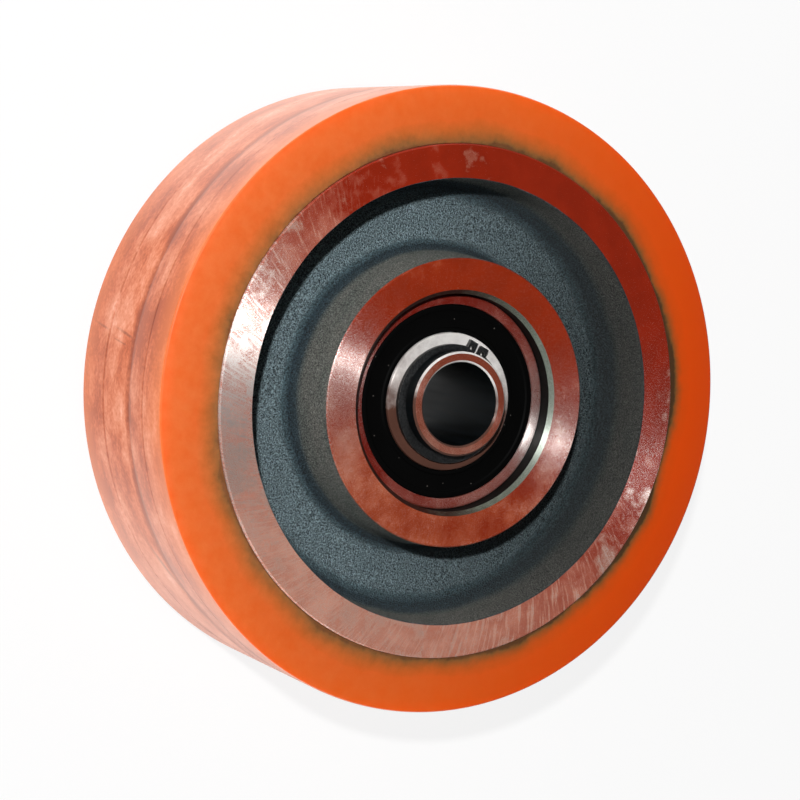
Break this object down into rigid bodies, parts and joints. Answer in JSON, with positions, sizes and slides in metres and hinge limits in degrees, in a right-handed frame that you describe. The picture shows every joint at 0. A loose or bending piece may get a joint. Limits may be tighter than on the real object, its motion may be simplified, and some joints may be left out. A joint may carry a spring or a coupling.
{
  "type": "pallet truck load wheel",
  "caption": "Wide load wheel with an orange polyurethane tyre on a cast iron hub, turning on two sealed ball bearings round a steel axle sleeve held by circlips.",
  "frame": {"origin": "middle of the wheel, on its axis and halfway through its width", "axes": "+Z along the wheel's axis, out of its front face; +X and +Y square to it"},
  "size_m": [0.15, 0.15, 0.056],
  "materials": {
    "polyurethane": "cast orange polyurethane, slightly translucent, worn matt on the tread",
    "painted_iron": "sand-cast iron under thin blue-grey paint, with rim and boss faces turned bright",
    "sleeve_steel": "turned steel",
    "spring_steel": "phosphated spring steel",
    "bearing_steel": "ground bearing steel",
    "ball_steel": "polished bearing steel",
    "nitrile_rubber": "black moulded rubber",
    "polyamide": "moulded polyamide"
  },
  "bodies": {
    "axle": {"axle_sleeve": "sleeve_steel", "front_circlip": "spring_steel", "rear_circlip": "spring_steel", "front_bearing_inner_ring": "bearing_steel", "rear_bearing_inner_ring": "bearing_steel"},
    "wheel": {"tyre": "polyurethane", "hub": "painted_iron", "front_bearing_outer_ring": "bearing_steel", "rear_bearing_outer_ring": "bearing_steel", "front_bearing_outside_seal": "nitrile_rubber", "front_bearing_inside_seal": "nitrile_rubber", "rear_bearing_outside_seal": "nitrile_rubber", "rear_bearing_inside_seal": "nitrile_rubber"},
    "front_ball_set": {"front_bearing_cage": "polyamide", "front_bearing_ball_1": "ball_steel", "front_bearing_ball_2": "ball_steel", "front_bearing_ball_3": "ball_steel", "front_bearing_ball_4": "ball_steel", "front_bearing_ball_5": "ball_steel", "front_bearing_ball_6": "ball_steel", "front_bearing_ball_7": "ball_steel", "front_bearing_ball_8": "ball_steel", "front_bearing_ball_9": "ball_steel"},
    "rear_ball_set": {"rear_bearing_cage": "polyamide", "rear_bearing_ball_1": "ball_steel", "rear_bearing_ball_2": "ball_steel", "rear_bearing_ball_3": "ball_steel", "rear_bearing_ball_4": "ball_steel", "rear_bearing_ball_5": "ball_steel", "rear_bearing_ball_6": "ball_steel", "rear_bearing_ball_7": "ball_steel", "rear_bearing_ball_8": "ball_steel", "rear_bearing_ball_9": "ball_steel"}
  },
  "joints": [
    {"name": "wheel_spin", "type": "hinge", "parent": "axle", "child": "wheel", "pos_m": [0, 0, 0], "axis": [0, 0, 1], "continuous": true},
    {"name": "front_balls_spin", "type": "hinge", "parent": "axle", "child": "front_ball_set", "pos_m": [0, 0, 0.015], "axis": [0, 0, 1], "continuous": true},
    {"name": "rear_balls_spin", "type": "hinge", "parent": "axle", "child": "rear_ball_set", "pos_m": [0, 0, -0.015], "axis": [0, 0, 1], "continuous": true}
  ],
  "couplings": [
    {"joint": "front_balls_spin", "follows": "wheel_spin", "ratio": 0.6031},
    {"joint": "rear_balls_spin", "follows": "wheel_spin", "ratio": 0.6031}
  ]
}
